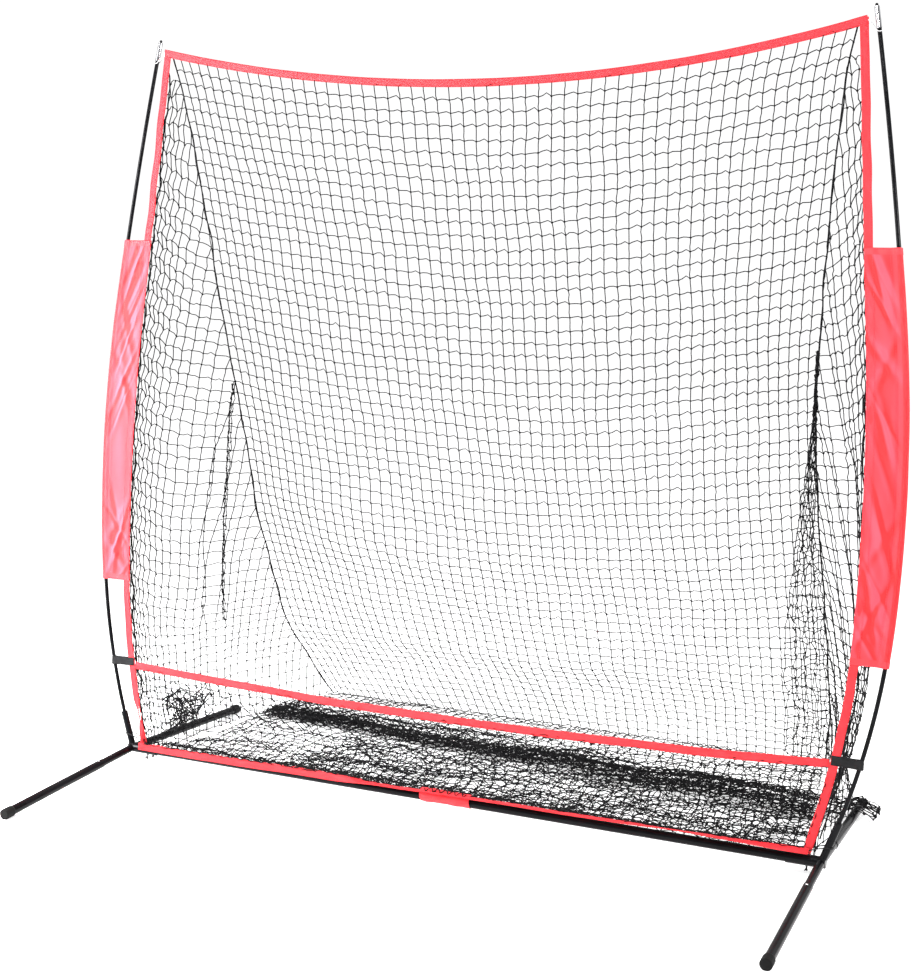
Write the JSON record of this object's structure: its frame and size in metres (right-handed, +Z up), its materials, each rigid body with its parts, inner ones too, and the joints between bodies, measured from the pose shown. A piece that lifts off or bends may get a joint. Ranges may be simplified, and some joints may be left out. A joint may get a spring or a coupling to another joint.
{
  "type": "pitching target net",
  "caption": "Free-standing ball practice net: a bowed rod frame on flat leg sets holds a large knotted net with a low ball pocket and red edge bands.",
  "frame": {"origin": "centre of the footprint, on the ground", "axes": "+X to the right seen from the throwing side, +Y away from the thrower, +Z up"},
  "size_m": [2.3752, 1.5186, 2.147],
  "materials": {
    "black_tube": "gloss black powder coat",
    "plain_steel": "zinc plated",
    "foot_rubber": "matt",
    "button_metal": "bright plated",
    "black_rod": "smooth black fibreglass",
    "bright_metal": "bright",
    "black_cord": "braided",
    "grey_cord": "braided",
    "red_fabric": "woven polyester",
    "red_webbing": "folded polyester tape",
    "black_webbing": "woven webbing",
    "net_cord": "knotted cord"
  },
  "bodies": {
    "frame": {"bar_left": "black_tube", "bar_right": "black_tube", "bar_joiner": "plain_steel", "hub_left": "black_tube", "hub_right": "black_tube", "clip_front_left": "plain_steel", "clip_front_right": "plain_steel", "clip_rear_left": "plain_steel", "clip_rear_right": "plain_steel", "rod_low_left": "black_rod", "rod_low_right": "black_rod", "rod_mid_left": "black_rod", "rod_mid_right": "black_rod", "rod_top_left": "black_rod", "rod_top_right": "black_rod", "ferrules_left": "bright_metal", "ferrules_right": "bright_metal", "tip_left": "bright_metal", "tip_right": "bright_metal", "shock_cord_left": "black_cord", "shock_cord_right": "black_cord", "panel_left": "red_fabric", "panel_right": "red_fabric", "trim_left": "red_webbing", "trim_right": "red_webbing", "top_band": "red_webbing", "lip_band": "red_webbing", "bottom_band": "red_webbing", "bar_wrap": "red_webbing", "tab_left": "black_webbing", "tab_right": "black_webbing", "top_loop_left": "grey_cord", "top_loop_right": "grey_cord", "corner_loop_left": "black_cord", "corner_loop_right": "black_cord", "net_back": "net_cord", "net_side_left": "net_cord", "net_side_right": "net_cord", "net_floor": "net_cord", "net_lip": "net_cord", "seam_cord_left": "net_cord", "seam_cord_right": "net_cord"},
    "leg_front_left": {"leg_front_left": "black_tube", "cap_front_left": "foot_rubber"},
    "button_front_left": {"button_front_left": "button_metal"},
    "leg_front_right": {"leg_front_right": "black_tube", "cap_front_right": "foot_rubber"},
    "button_front_right": {"button_front_right": "button_metal"},
    "leg_rear_left": {"leg_rear_left": "black_tube", "cap_rear_left": "foot_rubber"},
    "button_rear_left": {"button_rear_left": "button_metal"},
    "leg_rear_right": {"leg_rear_right": "black_tube", "cap_rear_right": "foot_rubber"},
    "button_rear_right": {"button_rear_right": "button_metal"}
  },
  "joints": [
    {"name": "leg_slide_front_left", "type": "slide", "parent": "frame", "child": "leg_front_left", "axis": [0, -0.9988, -0.0486], "range_m": [0, 0.09], "deforming": ["button_front_left", "clip_front_left"]},
    {"name": "leg_slide_front_right", "type": "slide", "parent": "frame", "child": "leg_front_right", "axis": [0, -0.9988, -0.0486], "range_m": [0, 0.09], "deforming": ["button_front_right", "clip_front_right"]},
    {"name": "leg_slide_rear_left", "type": "slide", "parent": "frame", "child": "leg_rear_left", "axis": [0, 0.9988, -0.0486], "range_m": [0, 0.09], "deforming": ["button_rear_left", "clip_rear_left"]},
    {"name": "leg_slide_rear_right", "type": "slide", "parent": "frame", "child": "leg_rear_right", "axis": [0, 0.9988, -0.0486], "range_m": [0, 0.09], "deforming": ["button_rear_right", "clip_rear_right"]},
    {"name": "button_press_front_left", "type": "slide", "parent": "frame", "child": "button_front_left", "axis": [0, 0.0486, -0.9988], "range_m": [0, 0.0042], "stiffness_N_per_m": 600, "springref_m": -0.002, "deforming": ["clip_front_left"]},
    {"name": "button_press_front_right", "type": "slide", "parent": "frame", "child": "button_front_right", "axis": [0, 0.0486, -0.9988], "range_m": [0, 0.0042], "stiffness_N_per_m": 600, "springref_m": -0.002, "deforming": ["clip_front_right"]},
    {"name": "button_press_rear_left", "type": "slide", "parent": "frame", "child": "button_rear_left", "axis": [0, -0.0486, -0.9988], "range_m": [0, 0.0042], "stiffness_N_per_m": 600, "springref_m": -0.002, "deforming": ["clip_rear_left"]},
    {"name": "button_press_rear_right", "type": "slide", "parent": "frame", "child": "button_rear_right", "axis": [0, -0.0486, -0.9988], "range_m": [0, 0.0042], "stiffness_N_per_m": 600, "springref_m": -0.002, "deforming": ["clip_rear_right"]}
  ]
}
